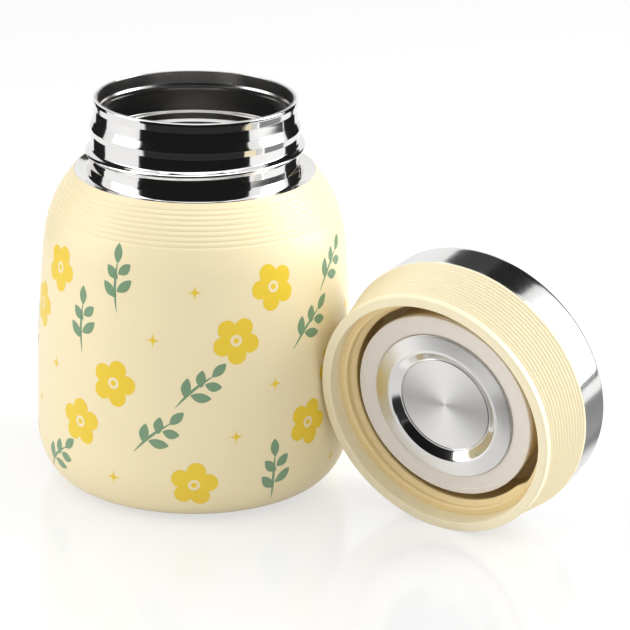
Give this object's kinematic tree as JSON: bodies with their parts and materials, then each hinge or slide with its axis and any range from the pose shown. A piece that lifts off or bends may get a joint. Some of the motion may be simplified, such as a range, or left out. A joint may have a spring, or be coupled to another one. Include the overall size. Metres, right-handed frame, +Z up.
{
  "type": "insulated food jar",
  "caption": "Rounded cream vacuum food jar with a threaded steel neck, its steel-capped screw lid taken off and resting on its side against the body.",
  "frame": {"origin": "centre of the jar's foot, on the surface it stands on", "axes": "+Z up the jar's axis towards its mouth, -Y towards the picture's viewer, +X to the side the lid lies on"},
  "size_m": [0.1745, 0.1296, 0.1242],
  "materials": {
    "cream_enamel": "satin",
    "polished_steel": "polished",
    "brushed_steel": "satin",
    "cream_plastic": "satin",
    "silicone": "satin",
    "foam": "matte",
    "foil": "polished",
    "solder": "gloss"
  },
  "bodies": {
    "jar": {"outer_shell": "cream_enamel", "threaded_neck": "polished_steel", "inner_vessel": "brushed_steel", "heat_shield": "foil", "getter": "brushed_steel", "base_disc": "brushed_steel", "port_seal": "solder", "base_cover": "brushed_steel"},
    "seal": {"seal_ring": "silicone"},
    "lid": {"skirt_shell": "cream_plastic", "steel_cap": "brushed_steel", "thread_sleeve": "cream_plastic", "plug_cup": "cream_plastic", "inner_plate": "polished_steel", "insulation_puck": "foam"}
  },
  "joints": [
    {"name": "lid_lift", "type": "slide", "parent": "jar", "child": "seal", "axis": [0, 0, 1], "range_m": [0, 0.15]},
    {"name": "lid_turn", "type": "hinge", "parent": "seal", "child": "lid", "pos_m": [0.07228, -0.05577, 0.03938], "axis": [0.5754, 0.7978, 0.1801], "continuous": true}
  ]
}
